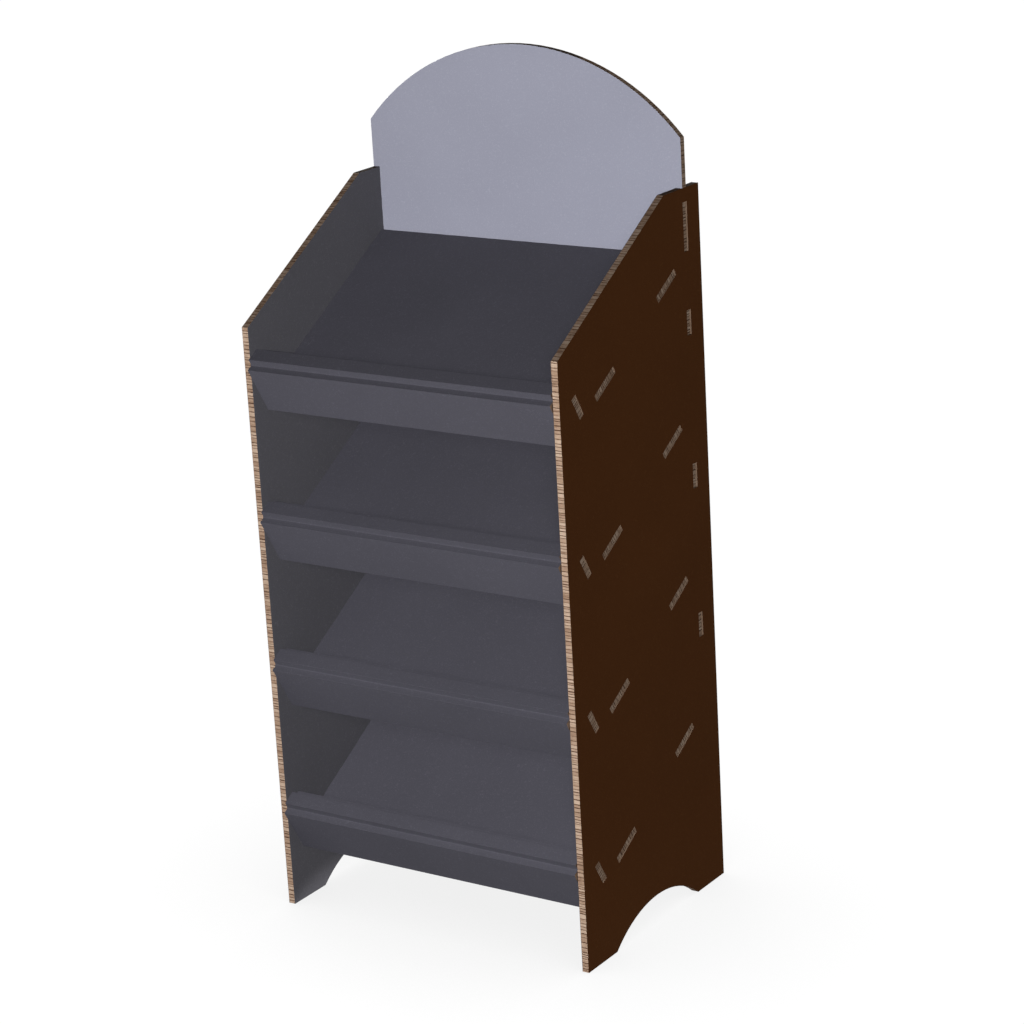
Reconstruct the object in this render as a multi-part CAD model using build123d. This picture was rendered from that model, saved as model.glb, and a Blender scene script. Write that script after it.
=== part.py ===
from build123d import *
from math import cos, radians, sin, tan
import os

# A flat-packed display stand cut from cored board: two sides, four sloping shelves, a folded lip
# along the front of each shelf, and one back panel that rises above the sides as an arched header.
# Millimetres, X to the right, Y to the back, Z up. Levels are counted from the lowest shelf.

# Board and its joints
board = 10.0              # thickness of the board that every piece is cut from
slot_play = 0.3           # room round a tab in its slot
tab_recess = 1.5          # a tab's end stays this far inside the side's outer face
shelf_play = 0.3          # between a shelf's rear edge and the back panel
cut_overrun = 5.0         # how far a cutting tool runs past the board it cuts

# Stand as a whole
stand_width = 500.0
side_depth = 362.0
side_front_height = 838.0
side_top_flat = 90.0      # level stretch at the top of a side, behind its slope
tilt = 30.0               # slope of the shelves and of the sides' upper edges, in degrees
shelf_count = 4

# Feet of a side, either side of its arched foot cut
foot_length = 72.5
foot_arch_rise = 40.0

# Seats: the line on a shelf's top face where the middle of the lip's inner wall stands
seat_setback = 50.0       # behind the sides' front edges
lowest_seat_height = 114.5
top_seat_drop = 84.0      # of the highest seat below the front corner of a side

# Lip: one strip of board folded into an upside-down channel over the shelf's front edge
lip_height = 52.0         # of its inner wall above the shelf
lip_channel = 21.0        # clear width between the inner and the outer wall
lip_hang = 22.0           # of its outer wall below the shelf's top face
lip_tab = 34.0            # height of the tab at each end of the inner wall
fold_neck = 1.0           # board left whole at the inside of each cut fold

# Shelf tabs, two on each side
shelf_tab = 54.0
front_tab_place = 65.0    # middle of the front tab, behind the seat along the slope
rear_tab_inset = 55.0     # middle of the rear tab, ahead of the shelf's rear edge

# Back panel and header
back_inset = 32.0         # of the panel's rear face ahead of the sides' back edges
back_overhang = 5.0       # of the panel below the rear edge of the lowest shelf
header_side_height = 67.0
header_rise = 113.5       # of the header's arch above its corners
header_tab = 66.0         # height of the tab beside the header, above the top shelf
bay_tab = 34.0            # height of the tab in each bay below
bay_tab_share = 0.545     # place of that tab's middle, as a share of the pitch above the shelf

# Worked out from the sizes above
slope = radians(tilt)
half_board = board / 2
inner_width = stand_width - 2 * board
tab_reach = board - tab_recess
pitch = (side_front_height - top_seat_drop - lowest_seat_height) / (shelf_count - 1)
side_top_height = side_front_height + (side_depth - side_top_flat) * tan(slope)
back_front = side_depth - back_inset - board
shelf_front = half_board + lip_channel
shelf_rear = (back_front - shelf_play - seat_setback - board * sin(slope)) / cos(slope)
lip_front_y = seat_setback - (shelf_front + board) * cos(slope) - lip_height * sin(slope)
middle_y = (lip_front_y + side_depth) / 2


def seat_height(level):
    """Height of a level's seat above the floor."""
    return lowest_seat_height + (level - 1) * pitch


def shelf_top_at_back(level):
    """Height at which a shelf's top face would meet the back panel."""
    return seat_height(level) + (back_front - seat_setback) * tan(slope)


def level_plane(level, across=0.0):
    """Section plane of a level: x up the slope to the back, y square to the shelf, z to the right."""
    seat = (across, seat_setback, seat_height(level))
    return Plane(origin=seat, x_dir=(0, cos(slope), sin(slope)), z_dir=(1, 0, 0))


def block(plane, x_span, y_span, length):
    """A straight block with a rectangular section in a plane, run along its normal."""
    corners = [(x_span[0], y_span[0]), (x_span[1], y_span[0]), (x_span[1], y_span[1]), (x_span[0], y_span[1])]
    section = make_face(Polyline(*corners, close=True))
    return extrude(plane * section, length)


def widened(span, play):
    """A span with the same play added at both ends."""
    return (span[0] - play, span[1] + play)


def shelf_tab_spans():
    """Where a shelf's two tabs lie along the slope."""
    middles = (front_tab_place, shelf_rear - rear_tab_inset)
    return [(middle - shelf_tab / 2, middle + shelf_tab / 2) for middle in middles]


def back_tab_spans():
    """Heights of the back panel's tabs: one in each bay and a tall one beside the header."""
    spans = []
    for level in range(1, shelf_count):
        middle = shelf_top_at_back(level) + bay_tab_share * pitch
        spans.append((middle - bay_tab / 2, middle + bay_tab / 2))
    header_foot = shelf_top_at_back(shelf_count)
    spans.append((header_foot, header_foot + header_tab))
    return spans


# Spans that the tabs and their slots share
shelf_thickness_span = (-board, 0)
lip_wall_span = (-half_board, half_board)
lip_tab_span = (0, lip_tab)
back_span = (back_front, back_front + board)


def tab_pair(make_tab):
    """The same tab on the right and, mirrored, on the left."""
    right = make_tab(inner_width / 2)
    return [right, mirror(right, about=Plane.YZ)]


def make_shelf(level):
    """A flat sloping shelf with two tabs on each side."""
    width_plane = level_plane(level, -inner_width / 2)
    shelf = block(width_plane, (-shelf_front, shelf_rear), shelf_thickness_span, inner_width)
    for span in shelf_tab_spans():
        shelf += tab_pair(lambda across: block(level_plane(level, across), span, shelf_thickness_span, tab_reach))
    return shelf


def make_lip(level):
    """The folded lip: inner wall on the shelf, strap above, outer wall over the shelf's edge."""
    outer_inside = -half_board - lip_channel
    outer_outside = outer_inside - board
    strap_top = lip_height + board
    outline = Polyline(
        (half_board, 0),
        (half_board, lip_height),
        (-half_board + fold_neck, lip_height),
        (-half_board, lip_height + fold_neck),
        (-half_board, strap_top),
        (outer_inside, strap_top),
        (outer_inside, lip_height + fold_neck),
        (outer_inside - fold_neck, lip_height),
        (outer_outside, lip_height),
        (outer_outside, -lip_hang),
        (outer_inside, -lip_hang),
        (outer_inside, lip_height),
        (-half_board, lip_height),
        (-half_board, 0),
        close=True,
    )
    lip = extrude(level_plane(level, -inner_width / 2) * make_face(outline), inner_width)
    lip += tab_pair(lambda across: block(level_plane(level, across), lip_wall_span, lip_tab_span, tab_reach))
    return lip


def make_back_panel():
    """The back panel, whose top widens over the sides into a header with an arched top."""
    panel_foot = seat_height(1) + shelf_rear * sin(slope) - board * cos(slope) - back_overhang
    header_corner = side_top_height + header_side_height
    body_edge = inner_width / 2
    header_edge = stand_width / 2
    straight = Polyline(
        (-header_edge, header_corner),
        (-header_edge, side_top_height),
        (-body_edge, side_top_height),
        (-body_edge, panel_foot),
        (body_edge, panel_foot),
        (body_edge, side_top_height),
        (header_edge, side_top_height),
        (header_edge, header_corner),
    )
    arch = ThreePointArc((header_edge, header_corner), (0, header_corner + header_rise), (-header_edge, header_corner))
    face_plane = Plane(origin=(0, back_front, 0), x_dir=(-1, 0, 0), z_dir=(0, 1, 0))
    panel = extrude(face_plane * make_face(straight + arch), board)
    for span in back_tab_spans():
        panel += tab_pair(lambda across: block(Plane.YZ.offset(across), back_span, span, tab_reach))
    return panel


def side_slots():
    """Cutting blocks for every slot of the right side."""
    slot_plane_x = inner_width / 2 - cut_overrun
    slot_length = board + 2 * cut_overrun
    slots = []
    for level in range(1, shelf_count + 1):
        plane = level_plane(level, slot_plane_x)
        lip_spans = (widened(lip_wall_span, slot_play), widened(lip_tab_span, slot_play))
        slots.append(block(plane, *lip_spans, slot_length))
        for span in shelf_tab_spans():
            spans = (widened(span, slot_play), widened(shelf_thickness_span, slot_play))
            slots.append(block(plane, *spans, slot_length))
    for span in back_tab_spans():
        spans = (widened(back_span, slot_play), widened(span, slot_play))
        slots.append(block(Plane.YZ.offset(slot_plane_x), *spans, slot_length))
    return slots


def make_right_side():
    """A side: straight front edge, sloping upper edge, level top and an arched foot cut."""
    straight = Polyline(
        (side_depth - foot_length, 0),
        (side_depth, 0),
        (side_depth, side_top_height),
        (side_depth - side_top_flat, side_top_height),
        (0, side_front_height),
        (0, 0),
        (foot_length, 0),
    )
    foot_arch = ThreePointArc((foot_length, 0), (side_depth / 2, foot_arch_rise), (side_depth - foot_length, 0))
    outline = make_face(straight + foot_arch)
    side = extrude(Plane.YZ.offset(inner_width / 2) * outline, board)
    return side - side_slots()


pieces = {"side_right": make_right_side()}
pieces["side_left"] = mirror(pieces["side_right"], about=Plane.YZ)
pieces["back_panel"] = make_back_panel()
for number in range(1, shelf_count + 1):
    pieces[f"shelf_{number}"] = make_shelf(number)
    pieces[f"lip_{number}"] = make_lip(number)

os.makedirs("parts", exist_ok=True)
for name, piece in pieces.items():
    standing = Pos(0, -middle_y, 0) * piece
    export_step(standing, f"parts/{name}.step")
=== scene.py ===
import math
import random
import bpy
import bmesh
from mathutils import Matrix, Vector


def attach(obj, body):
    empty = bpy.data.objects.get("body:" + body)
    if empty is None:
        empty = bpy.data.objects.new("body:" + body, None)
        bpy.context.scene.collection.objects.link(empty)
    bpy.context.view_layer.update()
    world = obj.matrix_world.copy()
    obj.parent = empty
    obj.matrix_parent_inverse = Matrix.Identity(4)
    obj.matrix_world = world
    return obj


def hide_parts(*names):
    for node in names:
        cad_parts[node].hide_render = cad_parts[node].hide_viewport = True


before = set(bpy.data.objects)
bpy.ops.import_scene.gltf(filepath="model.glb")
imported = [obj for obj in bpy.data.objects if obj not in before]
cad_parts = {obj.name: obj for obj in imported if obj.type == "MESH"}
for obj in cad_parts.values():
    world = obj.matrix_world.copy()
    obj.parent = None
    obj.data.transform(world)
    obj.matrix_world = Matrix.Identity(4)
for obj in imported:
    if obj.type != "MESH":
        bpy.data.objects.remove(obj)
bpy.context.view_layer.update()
print("frame loaded:", len(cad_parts), "boards")

scene = bpy.context.scene
scene.view_settings.view_transform = "Standard"


# Camera: at the photo's angle, a long lens from the front right
cameraView = {
    "place": (2.29724, -3.29380, 1.79958),
    "turn": (72.7793, 3.1374, 33.3589),    # degrees
    "lens": 108.42,
    "sensor": 36.0,
    "reach": 200.0,        # nothing beyond this distance is drawn
}
cameraData = bpy.data.cameras.new("photoCamera")
cameraData.sensor_width = cameraView["sensor"]
cameraData.lens = cameraView["lens"]
cameraData.clip_end = cameraView["reach"]
camera = bpy.data.objects.new("photoCamera", cameraData)
camera.location = cameraView["place"]
camera.rotation_euler = [math.radians(angle) for angle in cameraView["turn"]]
scene.collection.objects.link(camera)
scene.camera = camera
print("camera set")


# Small helpers for colours and nodes
def paint(red, green, blue):
    # a colour as a picture shows it, 0 to 255, turned into Blender's linear values
    def linear(value):
        value = value / 255.0
        return value / 12.92 if value <= 0.04045 else ((value + 0.055) / 1.055) ** 2.4
    return (linear(red), linear(green), linear(blue), 1.0)


def feed(tree, socket, value):
    # links a socket to another node's output, or sets it to a fixed value
    if isinstance(value, bpy.types.NodeSocket):
        tree.links.new(value, socket)
    else:
        socket.default_value = value


def addNode(tree, kind, inputs=None, **settings):
    node = tree.nodes.new(kind)
    for key, value in settings.items():
        setattr(node, key, value)
    for label, value in (inputs or {}).items():
        feed(tree, node.inputs[label], value)
    return node


def addNoise(tree, vector, grain):
    return addNode(tree, "ShaderNodeTexNoise", {**grain, "Vector": vector}).outputs["Fac"]


def addRange(tree, value, span, newSpan):
    # what runs over one span is made to run over another, and stops at its ends
    return addNode(tree, "ShaderNodeMapRange", {
        "Value": value, "From Min": span[0], "From Max": span[1],
        "To Min": newSpan[0], "To Max": newSpan[1]}).outputs["Result"]


def addMath(tree, operation, first, second):
    return addNode(tree, "ShaderNodeMath", {0: first, 1: second}, operation=operation).outputs[0]


def addMix(tree, factor, first, second, blend="MIX"):
    # a Mix node for colours has its factor at input 0 and its two colours at 6 and 7
    node = addNode(tree, "ShaderNodeMix", {0: factor, 6: first, 7: second},
                   data_type="RGBA", blend_type=blend)
    return node.outputs[2]


def addShade(tree, colour, shade):
    # a colour times a number, so that it gets lighter or darker
    grey = addNode(tree, "ShaderNodeCombineColor", {"Red": shade, "Green": shade, "Blue": shade})
    return addMix(tree, 1.0, colour, grey.outputs["Color"], "MULTIPLY")


def addBump(tree, height, strength, distance):
    bump = addNode(tree, "ShaderNodeBump", {"Strength": strength, "Distance": distance, "Height": height})
    return bump.outputs["Normal"]


def makeGroup(name, inputs, outputs):
    # inputs and outputs give the name and the kind of each socket
    group = bpy.data.node_groups.new(name, "ShaderNodeTree")
    for direction, sockets in (("INPUT", inputs), ("OUTPUT", outputs)):
        for label, kind in sockets.items():
            group.interface.new_socket(label, in_out=direction, socket_type="NodeSocket" + kind)
    return group, group.nodes.new("NodeGroupInput").outputs, group.nodes.new("NodeGroupOutput").inputs


def startMaterial(name):
    material = bpy.data.materials.new(name)
    material.use_nodes = True
    material.node_tree.nodes.clear()
    return material, material.node_tree


# Both groups below put out a colour, a roughness and a height for the bump
grainOutputs = {"Color": "Color", "Roughness": "Float", "Height": "Float"}
noiseSpan = (0.3, 0.7)     # nearly all of a noise lies between these

# Printed paper liner: clouding, fibres, and the cells of the core showing through faintly
paperGrain = {
    "clouds": {"Scale": 5.0, "Detail": 2.0, "Roughness": 0.55},
    "speckle": {"Scale": 640.0, "Detail": 1.0, "Roughness": 0.65},
    "fibres": {"Scale": 260.0, "Detail": 2.0, "Roughness": 0.5, "Distortion": 2.2},
    "cellScale": 95.0,
    "threadSpan": (0.56, 0.72),    # where the fibres' noise becomes a thread
    "speckSpan": (0.62, 0.75),     # where the speckle's noise becomes a speck
    "fibreAmount": 0.35,           # how far threads and specks turn to the fibre's colour
    "glossSwing": 0.06,            # how far the speckle moves the gloss
    "speckleHeight": 0.35, "fibreHeight": 0.3, "cellHeight": 0.35,
    "bump": 0.22, "bumpDepth": 0.0004,
}


def makePaperGroup():
    tree, given, result = makeGroup(
        "paperLiner",
        {"Vector": "Vector", "Ink": "Color", "Fibre": "Color", "Cloud": "Float", "Satin": "Float"},
        grainOutputs)
    vector = given["Vector"]
    clouds = addNoise(tree, vector, paperGrain["clouds"])
    speckle = addNoise(tree, vector, paperGrain["speckle"])
    fibres = addNoise(tree, vector, paperGrain["fibres"])
    cells = addNode(tree, "ShaderNodeTexVoronoi", {"Scale": paperGrain["cellScale"], "Vector": vector},
                    feature="F1")
    # colour: clouding makes the ink lighter and darker, threads and specks lift it
    cloud = addMath(tree, "MULTIPLY", addRange(tree, clouds, noiseSpan, (-1.0, 1.0)), given["Cloud"])
    clouded = addShade(tree, given["Ink"], addMath(tree, "ADD", cloud, 1.0))
    threads = addRange(tree, fibres, paperGrain["threadSpan"], (0.0, paperGrain["fibreAmount"]))
    specks = addRange(tree, speckle, paperGrain["speckSpan"], (0.0, paperGrain["fibreAmount"]))
    lift = addMath(tree, "MAXIMUM", threads, specks)
    feed(tree, result["Color"], addMix(tree, lift, clouded, given["Fibre"]))
    # gloss varies with the speckle round the satin value
    swing = addRange(tree, speckle, noiseSpan, (-paperGrain["glossSwing"], paperGrain["glossSwing"]))
    feed(tree, result["Roughness"], addMath(tree, "ADD", swing, given["Satin"]))
    # height: fine tooth, threads and cells
    tooth = addMath(tree, "MULTIPLY", speckle, paperGrain["speckleHeight"])
    thread = addMath(tree, "MULTIPLY", fibres, paperGrain["fibreHeight"])
    cell = addMath(tree, "MULTIPLY", cells.outputs["Distance"], paperGrain["cellHeight"])
    feed(tree, result["Height"], addMath(tree, "ADD", addMath(tree, "ADD", tooth, thread), cell))
    return tree


# Raw cut core: each block and line has a tone, and each edge a painted shade for its direction
coreGrain = {
    "fuzz": {"Scale": 700.0, "Detail": 4.0, "Roughness": 0.65},
    "patches": {"Scale": 60.0, "Detail": 2.0, "Roughness": 0.5},
    "strands": {"Scale": 900.0, "Detail": 3.0, "Roughness": 0.6},
    "strandStretch": 0.08,         # torn strands are drawn out across the edge
    "fuzzSwing": 0.08, "patchSwing": 0.08, "strandSwing": 0.22,    # how far each moves the tone
    "tanTone": 0.55,               # tone at which the groove's colour has become tan
    "roughFrom": (0.2, 0.8), "roughTo": (0.75, 0.95),
}


def makeCoreGroup():
    tree, given, result = makeGroup(
        "cutCore",
        {"Vector": "Vector", "Run": "Vector", "Tone": "Float", "Shade": "Float",
         "Groove": "Color", "Tan": "Color", "Pale": "Color"},
        grainOutputs)
    fuzz = addNoise(tree, given["Vector"], coreGrain["fuzz"])
    patches = addNoise(tree, given["Vector"], coreGrain["patches"])
    drawnOut = addNode(tree, "ShaderNodeMapping", {
        "Vector": given["Run"], "Scale": (1.0, coreGrain["strandStretch"], 1.0)})
    strands = addNoise(tree, drawnOut.outputs["Vector"], coreGrain["strands"])
    tone = given["Tone"]
    for noise, swing in ((fuzz, "fuzzSwing"), (patches, "patchSwing"), (strands, "strandSwing")):
        change = addRange(tree, noise, noiseSpan, (-coreGrain[swing], coreGrain[swing]))
        tone = addMath(tree, "ADD", tone, change)
    # a low tone is the groove's colour, a middle one tan and a high one pale
    dark = addRange(tree, tone, (0.0, coreGrain["tanTone"]), (0.0, 1.0))
    light = addRange(tree, tone, (coreGrain["tanTone"], 1.0), (0.0, 1.0))
    colour = addMix(tree, dark, given["Groove"], given["Tan"])
    colour = addMix(tree, light, colour, given["Pale"])
    # the painted shade makes the colour lighter or darker for the edge's direction
    feed(tree, result["Color"], addShade(tree, colour, given["Shade"]))
    feed(tree, result["Roughness"], addRange(tree, fuzz, coreGrain["roughFrom"], coreGrain["roughTo"]))
    feed(tree, result["Height"], addMath(tree, "ADD", fuzz, strands))
    return tree


paperGroup = makePaperGroup()
coreGroup = makeCoreGroup()


def addSurface(tree, group, values, gloss, bump, bumpDepth):
    # the shader of a finish, fed by one of the groups with the finish's own values
    place = addNode(tree, "ShaderNodeTexCoord")
    grain = addNode(tree, "ShaderNodeGroup", {"Vector": place.outputs["Object"], **values}, node_tree=group)
    shader = addNode(tree, "ShaderNodeBsdfPrincipled", {
        "Base Color": grain.outputs["Color"], "Roughness": grain.outputs["Roughness"],
        "Specular IOR Level": gloss, "Normal": addBump(tree, grain.outputs["Height"], bump, bumpDepth)})
    addNode(tree, "ShaderNodeOutputMaterial", {"Surface": shader.outputs["BSDF"]})


def linerMaterial(name, look):
    material, tree = startMaterial(name)
    values = {"Ink": paint(*look["ink"]), "Fibre": paint(*look["fibre"]),
              "Cloud": look["cloud"], "Satin": look["satin"]}
    addSurface(tree, paperGroup, values, look["gloss"], paperGrain["bump"], paperGrain["bumpDepth"])
    return material


def coreMaterial(name, look):
    # its tone, shade and run are written on the mesh where the edges are cut
    material, tree = startMaterial(name)
    tone = addNode(tree, "ShaderNodeAttribute", attribute_name="coreTone")
    shade = addNode(tree, "ShaderNodeAttribute", attribute_name="corePaintedShade")
    run = addNode(tree, "ShaderNodeUVMap", uv_map="coreRun")
    values = {"Tone": tone.outputs["Fac"], "Shade": shade.outputs["Fac"], "Run": run.outputs["UV"],
              "Groove": paint(*look["groove"]), "Tan": paint(*look["tan"]), "Pale": paint(*look["pale"])}
    addSurface(tree, coreGroup, values, look["gloss"], look["bump"], look["bumpDepth"])
    return material


# Finishes of the paper, and of the core where it is cut
finishes = {
    "brown": {"ink": (57, 32, 14), "fibre": (78, 50, 28),
              "cloud": 0.05, "satin": 0.65, "gloss": 0.006},
    # painted light: the inside ink is a lighter copy of the charcoal, for the side boards' inner faces as
    # they catch the light
    "inside": {"ink": (83, 82, 87), "fibre": (109, 108, 113),
               "cloud": 0.05, "satin": 0.55, "gloss": 0.02},
    "charcoal": {"ink": (77, 76, 84), "fibre": (103, 102, 111),
                 "cloud": 0.05, "satin": 0.55, "gloss": 0.012},
    # painted sheen: the header's pale lavender-grey ink stands for the satin charcoal board catching the
    # light head-on
    "header": {"ink": (141, 142, 156), "fibre": (165, 166, 180),
               "cloud": 0.03, "satin": 0.5, "gloss": 0.04},
}
coreLook = {"groove": (76, 52, 40), "tan": (149, 123, 103), "pale": (181, 159, 140),
            "gloss": 0.02, "bump": 0.5, "bumpDepth": 0.0005}
materials = {name: linerMaterial(name + "Liner", look) for name, look in finishes.items()}
materials["core"] = coreMaterial("cutCore", coreLook)
print("materials made:", len(materials))


# Cut edges: liners stand a little proud of the core, and the core's walls leave lines across it
cutEdge = {
    "liner": 0.0003,       # paper thickness seen along an edge
    "round": 0.00012,      # of the paper's outer corners
    "recess": 0.00025,     # how far the core lies behind the paper
    "recessLean": 0.00003,                 # how far that step leans inwards
    "lineDepth": 0.0005, "lineLean": 0.00004,
    "lineWidths": (0.0009, 0.0017),
    "blockWidths": (0.0013, 0.0062),       # core between two lines
    "firstLine": (0.001, 0.004), "endGap": 0.001,
    "lineTones": (0.0, 0.35), "blockTones": (0.5, 0.95),
    "plainTone": 0.6,                      # of cut faces that have no lines
    # painted shade: each cut edge is made lighter or darker for the way it faces, and slot walls darker
    "paintedShades": {"front": 1.11, "cross": 0.42, "slope": 0.64, "arch": 0.46,
               "top": 0.14, "under": 0.5, "slot": 0.42},
}

# Copies of the boards: points nearer than weld are merged, faces within flat of each other are
# joined, and edges that turn more than sharp stay crisp
meshCare = {"weld": 0.00001, "flat": math.radians(0.2), "sharp": math.radians(12)}


def addCoreLayers(bm):
    # what the core's finish reads: a tone and a painted shade for each face, and the place along and across
    # the edge
    bm.faces.layers.float.new("coreTone")
    bm.faces.layers.float.new("corePaintedShade")
    bm.loops.layers.uv.new("coreRun")
    return {"tone": bm.faces.layers.float["coreTone"], "shade": bm.faces.layers.float["corePaintedShade"],
            "run": bm.loops.layers.uv["coreRun"]}


def paintedEdgeShade(normal):
    # painted shade by the way an edge faces: front edges painted brightest, ends, slopes and arches darker,
    # level tops darkest
    paintedShades = cutEdge["paintedShades"]
    if abs(normal.y) > 0.9:        # upright, at the front or the back
        return paintedShades["front"]
    if abs(normal.x) > 0.7:        # towards a side
        return paintedShades["cross"]
    if normal.z > 0.95:            # level and upwards
        return paintedShades["top"]
    if normal.z < 0:
        return paintedShades["under"]
    return paintedShades["slope"] if normal.y < -0.3 else paintedShades["arch"]


def linePlaces(length, dice):
    # distances along an edge where lines start and end
    places = []
    at = dice.uniform(*cutEdge["firstLine"])
    while True:
        width = dice.uniform(*cutEdge["lineWidths"])
        if at + width > length - cutEdge["endGap"]:
            return places
        places.extend((at, at + width))
        at += width + dice.uniform(*cutEdge["blockWidths"])


def cutLines(bm, face, across, layers, dice):
    # splits one core face along its run, moves the splits to the lines' sides and sinks the lines
    normal = face.normal.copy()
    # painted shade for the direction the cut face looks
    face[layers["shade"]] = paintedEdgeShade(normal)
    face[layers["tone"]] = dice.uniform(*cutEdge["blockTones"])
    runs = [e for e in face.edges if abs((e.verts[0].co - e.verts[1].co).normalized().dot(across)) < 0.3]
    if len(face.verts) != 4 or len(runs) != 2:
        return
    first = runs[0].verts[0].co.copy()
    along = runs[0].verts[1].co - first
    length = along.length
    along.normalize()
    places = linePlaces(length, dice)
    if not places:
        return
    cuts = len(places)
    split = bmesh.ops.subdivide_edges(bm, edges=runs, cuts=cuts)
    newVerts = [v for v in split["geom_inner"] if isinstance(v, bmesh.types.BMVert)]
    strips = {f for v in newVerts for f in v.link_faces
              if f.normal.dot(normal) > 0.999 and len(f.verts) == 4}
    for vert in newVerts:
        at = (vert.co - first).dot(along)
        index = round(at / length * (cuts + 1)) - 1
        vert.co += along * (places[index] - at)
    strips = sorted(strips, key=lambda f: (f.calc_center_median() - first).dot(along))
    lines = strips[1::2]           # blocks and lines take turns, and a block comes first
    for number, strip in enumerate(strips):
        strip[layers["shade"]] = paintedEdgeShade(normal)
        strip[layers["tone"]] = dice.uniform(*cutEdge["lineTones" if number % 2 else "blockTones"])
        for loop in strip.loops:
            offset = loop.vert.co - first
            loop[layers["run"]].uv = (offset.dot(along), offset.dot(across))
    bmesh.ops.inset_individual(bm, faces=lines, thickness=cutEdge["lineLean"], depth=-cutEdge["lineDepth"])


def roundEdges(bm, edges, radius):
    bmesh.ops.bevel(bm, geom=edges, offset=radius, offset_type="OFFSET", segments=2,
                    profile=0.5, affect="EDGES", material=-1, clamp_overlap=True)


def copyNode(nodeName):
    bm = bmesh.new()
    bm.from_mesh(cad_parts[nodeName].data)
    bmesh.ops.remove_doubles(bm, verts=bm.verts, dist=meshCare["weld"])
    bmesh.ops.dissolve_limit(bm, angle_limit=meshCare["flat"], verts=bm.verts, edges=bm.edges)
    bm.normal_update()
    return bm


def finishPiece(bm, pieceName, nodeName, finishNames):
    mesh = bpy.data.meshes.new(pieceName)
    bm.to_mesh(mesh)
    bm.free()
    for name in finishNames:
        mesh.materials.append(materials[name])
    mesh.shade_smooth()
    mesh.set_sharp_from_angle(angle=meshCare["sharp"])
    piece = bpy.data.objects.new(pieceName, mesh)
    scene.collection.objects.link(piece)
    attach(piece, "root")
    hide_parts(nodeName)
    print("dressed", pieceName, len(mesh.polygons), "faces")


def outlineFaces(rims):
    # of the cut faces that touch along an edge, the group with the most area; the others line slots
    waiting = set(rims)
    bands = []
    while waiting:
        band = set()
        stack = [waiting.pop()]
        while stack:
            face = stack.pop()
            band.add(face)
            near = {f for e in face.edges for f in e.link_faces} & waiting
            waiting -= near
            stack.extend(near)
        bands.append(band)
    outline = max(bands, key=lambda band: sum(f.calc_area() for f in band))
    return [f for f in rims if f in outline]


def dressBoard(board):
    # board["facing"] is square to the board and looks to its front liner
    bm = copyNode(board["node"])
    dice = random.Random(board["seed"])
    layers = addCoreLayers(bm)
    facing = Vector(board["facing"]).normalized()
    middle = sum(v.co.dot(facing) for v in bm.verts) / len(bm.verts)
    rims = []
    for face in bm.faces:
        lean = face.normal.dot(facing)
        if abs(lean) > 0.5:
            face.material_index = 0 if lean > 0 else 1
        else:
            face.material_index = 2
            face[layers["tone"]] = cutEdge["plainTone"]
            # slot walls get a darker painted shade
            face[layers["shade"]] = cutEdge["paintedShades"]["slot"]
            rims.append(face)
    outline = outlineFaces(rims)
    # the outline's cut faces get the painted shade for their direction
    for face in outline:
        face[layers["shade"]] = paintedEdgeShade(face.normal)
    # a strip of liner at either face, with its outer corner rounded
    liners = bmesh.ops.inset_region(bm, faces=outline, thickness=cutEdge["liner"], depth=0.0,
                                    use_boundary=True, use_even_offset=True)["faces"]
    for strip in liners:
        strip.material_index = 0 if strip.calc_center_median().dot(facing) > middle else 1
    linerSet = set(liners)
    corners = [e for e in bm.edges if len(e.link_faces) == 2
               and sum(f in linerSet for f in e.link_faces) == 1
               and any(abs(f.normal.dot(facing)) > 0.5 for f in e.link_faces)]
    roundEdges(bm, corners, cutEdge["round"])
    # the core between them, set back and cut by lines
    bmesh.ops.inset_region(bm, faces=outline, thickness=cutEdge["recessLean"], depth=-cutEdge["recess"],
                           use_boundary=True, use_even_offset=True)
    bm.normal_update()
    for face in outline:
        cutLines(bm, face, facing, layers, dice)
    finishPiece(bm, board["piece"], board["node"], [board["front"], board["back"], "core"])


# Sides: dark brown outside, charcoal inside
sideBoards = [
    {"piece": "sideRight", "node": "side_right", "slot": "side_board", "facing": (1, 0, 0),
     "front": "brown", "back": "inside", "seed": 11},
    {"piece": "sideLeft", "node": "side_left", "slot": "side_board", "facing": (-1, 0, 0),
     "front": "brown", "back": "inside", "seed": 12},
]
for board in sideBoards:
    dressBoard(board)
print("sides done")


# Back panel and header in one board
backBoard = {"piece": "backHeader", "node": "back_panel", "slot": "header_board", "facing": (0, -1, 0),
             "front": "header", "back": "brown", "seed": 21}
dressBoard(backBoard)
print("header done")


# Shelves: charcoal above, brown below, sloping down to the front
shelfLevels = range(1, 5)
shelfTilt = math.radians(30)
squareToShelf = Vector((0, -math.sin(shelfTilt), math.cos(shelfTilt)))
alongShelf = Vector((0, math.cos(shelfTilt), math.sin(shelfTilt)))     # up the slope to the back
shelfBoard = {"slot": "shelf_board", "facing": squareToShelf,
              "front": "charcoal", "back": "brown", "seed": 31}
for level in shelfLevels:
    dressBoard({**shelfBoard, "piece": f"shelf{level}", "node": f"shelf_{level}",
                "seed": shelfBoard["seed"] + level})
print("shelves done")


# Lips: one folded strip along each shelf's front, charcoal outside and raw at the tabs' ends
lipStrip = {
    "round": 0.0004,       # of the folds and the long edges
    "longEdge": 0.3,       # an edge along the lip is rounded where it is longer than this
    "sharpEdge": 0.5,      # and turns by more than this, in radians
    "tabEnds": 0.244,      # end faces farther than this from the stand's middle are the tabs'
    "outerWall": 0.02,     # what lies nearer the lip's foremost face than this is its outer wall
    "innerWall": 0.035,    # and what looks back from behind this is the rear of its inner wall
    "facing": 0.6,         # how much of a face's direction makes it look forwards or backwards
    "seed": 51,
}


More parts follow.
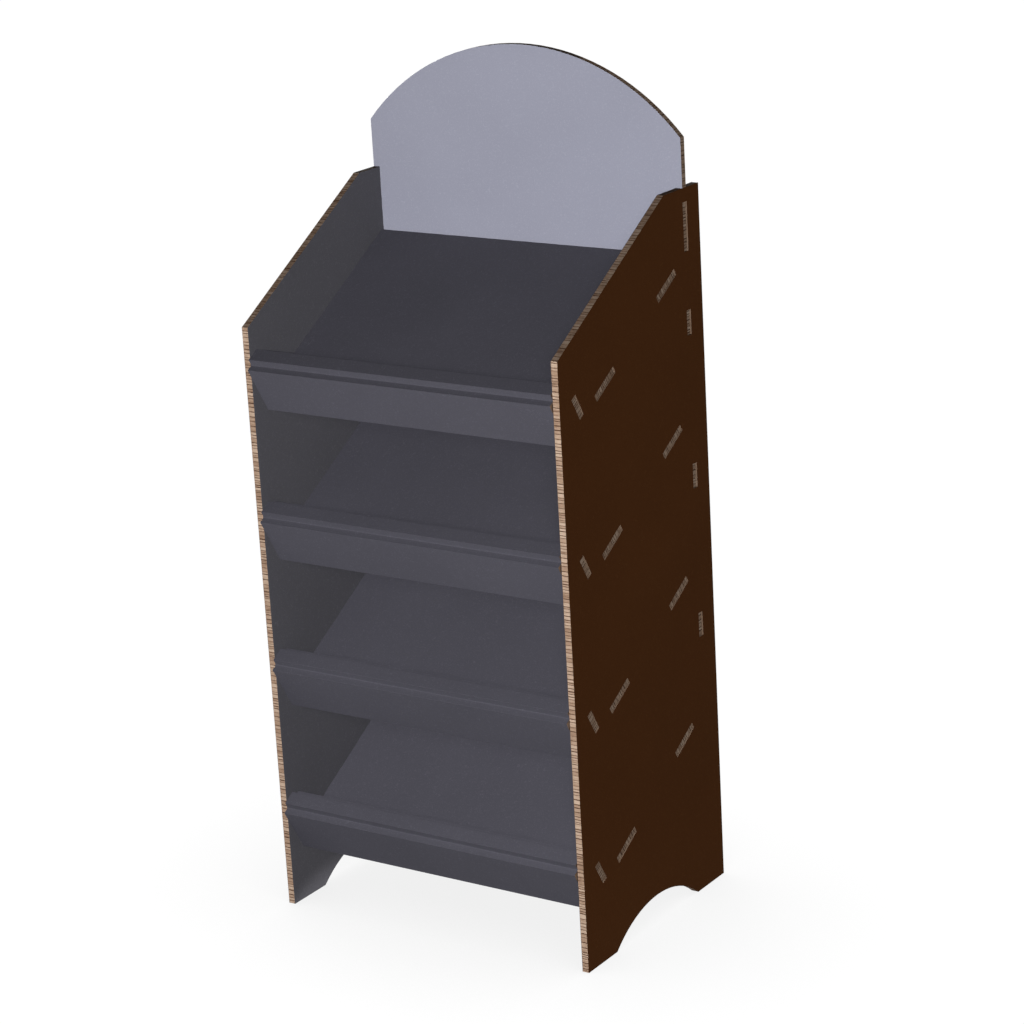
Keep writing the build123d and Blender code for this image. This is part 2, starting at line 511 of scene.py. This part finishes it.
def isOutside(face, foremost):
    # whether a face is on the outside of the folded strip
    behind = face.calc_center_median().dot(alongShelf) - foremost
    lean = face.normal.dot(alongShelf)
    if lean < -lipStrip["facing"]:
        return behind < lipStrip["outerWall"]
    if lean > lipStrip["facing"]:
        return behind > lipStrip["innerWall"]
    return face.normal.dot(squareToShelf) > 0


def dressLip(level):
    bm = copyNode(f"lip_{level}")
    dice = random.Random(lipStrip["seed"] + level)
    layers = addCoreLayers(bm)
    foremost = min(v.co.dot(alongShelf) for v in bm.verts)
    tabEnds = []
    for face in bm.faces:
        face[layers["tone"]] = cutEdge["plainTone"]
        # painted shade for the direction each face looks
        face[layers["shade"]] = paintedEdgeShade(face.normal)
        if abs(face.normal.x) > 0.5:
            face.material_index = 1
            if abs(face.calc_center_median().x) > lipStrip["tabEnds"]:
                tabEnds.append(face)
    for face in tabEnds:
        cutLines(bm, face, alongShelf, layers, dice)
    longEdges = [e for e in bm.edges if abs((e.verts[0].co - e.verts[1].co).normalized().x) > 0.99
                 and e.calc_length() > lipStrip["longEdge"]
                 and e.calc_face_angle(0) > lipStrip["sharpEdge"]]
    roundEdges(bm, longEdges, lipStrip["round"])
    bm.normal_update()
    for face in bm.faces:
        if face.material_index == 0 and not isOutside(face, foremost):
            face.material_index = 2
    finishPiece(bm, f"lip{level}", f"lip_{level}", ["charcoal", "core", "brown"])


for level in shelfLevels:
    dressLip(level)
print("lips done")


# Floor, room and lamps
studio = {
    "floorSize": 60.0, "floorColour": (0.22, 0.22, 0.22, 1.0), "floorRough": 0.9, "floorGloss": 0.1,
    "floorWhite": 0.92,    # share of the floor's look that is plain white
    "floorGlow": 1.09,
    "shadowReach": 0.4,    # how far from the boards the floor's soft shadow fades out
    "shadowSpan": (0.3, 1.0), "shadowTone": 0.84, "shadowSamples": 5,
    "roomColour": (1.0, 1.0, 1.0, 1.0),
    "fill": 0.035,         # the room's light on the boards
    "key": {"place": (2.3, -3.3, 1.8), "target": (0.0, 0.0, 0.55), "size": 0.8, "power": 38.0},
    "front": {"place": (0.3, -1.05, 0.68), "power": 32.8},
    # the suns' brightness is in shares of what shows a colour as it is written, their spread in degrees
    "suns": {
        "frontSun": {"from": (-0.6, -0.77, 0.2), "share": 0.2, "spread": 20.0, "shadow": False},
        "rightSun": {"from": (1.0, 0.2, 0.035), "share": 0.55, "spread": 4.0, "shadow": True},
        "backSun": {"from": (-0.74, 0.63, 0.12), "share": 0.85, "spread": 25.0, "shadow": True},
    },
}


def seenPlainly(tree):
    # 1 for what the camera or a reflection shows, 0 for light that falls on the boards
    rays = addNode(tree, "ShaderNodeLightPath").outputs
    seen = addMath(tree, "MAXIMUM", rays["Is Camera Ray"], rays["Is Glossy Ray"])
    return addMath(tree, "MAXIMUM", seen, rays["Is Transmission Ray"])


def floorMaterial():
    material, tree = startMaterial("paleFloor")
    shader = addNode(tree, "ShaderNodeBsdfPrincipled", {
        "Base Color": studio["floorColour"], "Roughness": studio["floorRough"],
        "Specular IOR Level": studio["floorGloss"]})
    # white where it is seen, with a soft shadow near the boards
    nearby = addNode(tree, "ShaderNodeAmbientOcclusion", {"Distance": studio["shadowReach"]},
                     samples=studio["shadowSamples"])
    tone = addRange(tree, nearby.outputs["AO"], studio["shadowSpan"], (studio["shadowTone"], 1.0))
    strength = addMath(tree, "MULTIPLY", tone, studio["floorGlow"])
    glow = addNode(tree, "ShaderNodeEmission", {"Strength": strength})
    share = addMath(tree, "MULTIPLY", seenPlainly(tree), studio["floorWhite"])
    mix = addNode(tree, "ShaderNodeMixShader", {
        0: share, 1: shader.outputs["BSDF"], 2: glow.outputs["Emission"]})
    addNode(tree, "ShaderNodeOutputMaterial", {"Surface": mix.outputs[0]})
    return material


def makeFloor():
    bm = bmesh.new()
    bmesh.ops.create_grid(bm, x_segments=1, y_segments=1, size=studio["floorSize"] / 2)
    mesh = bpy.data.meshes.new("studioFloor")
    bm.to_mesh(mesh)
    bm.free()
    mesh.materials.append(floorMaterial())
    floor = bpy.data.objects.new("studioFloor", mesh)
    scene.collection.objects.link(floor)


def makeRoom():
    world = bpy.data.worlds.new("softRoom")
    world.use_nodes = True
    tree = world.node_tree
    tree.nodes.clear()
    strength = addRange(tree, seenPlainly(tree), (0.0, 1.0), (studio["fill"], 1.0))
    background = addNode(tree, "ShaderNodeBackground", {
        "Color": studio["roomColour"], "Strength": strength})
    addNode(tree, "ShaderNodeOutputWorld", {"Surface": background.outputs["Background"]})
    scene.world = world


def placeLamp(name, kind, place, towards, settings):
    lampData = bpy.data.lights.new(name, kind)
    for key, value in settings.items():
        setattr(lampData, key, value)
    lamp = bpy.data.objects.new(name, lampData)
    lamp.location = place
    lamp.rotation_euler = Vector(towards).to_track_quat("-Z", "Y").to_euler()
    lamp.visible_camera = False
    scene.collection.objects.link(lamp)
    return lampData


def makeLamps():
    # a broad lamp close to the camera casts the soft shadows
    key = studio["key"]
    placeLamp("keyLamp", "AREA", key["place"], Vector(key["target"]) - Vector(key["place"]),
              {"shape": "DISK", "size": key["size"], "energy": key["power"]})
    # an even lamp in front, without shadow or falloff, keeps the bays open
    front = studio["front"]
    lampData = placeLamp("frontLamp", "POINT", front["place"], (0, 1, 0),
                         {"energy": front["power"], "use_shadow": False, "use_nodes": True})
    tree = lampData.node_tree
    emission = next(n for n in tree.nodes if n.type == "EMISSION")
    falloff = addNode(tree, "ShaderNodeLightFalloff", {"Strength": 1.0})
    feed(tree, emission.inputs["Strength"], falloff.outputs["Constant"])
    # suns from the sides and the back show what the camera does not see
    for name, look in studio["suns"].items():
        placeLamp(name, "SUN", (0, 0, 3), -Vector(look["from"]), {
            "energy": math.pi * look["share"], "angle": math.radians(look["spread"]),
            "use_shadow": look["shadow"]})


makeFloor()
makeRoom()
makeLamps()
print("studio done")
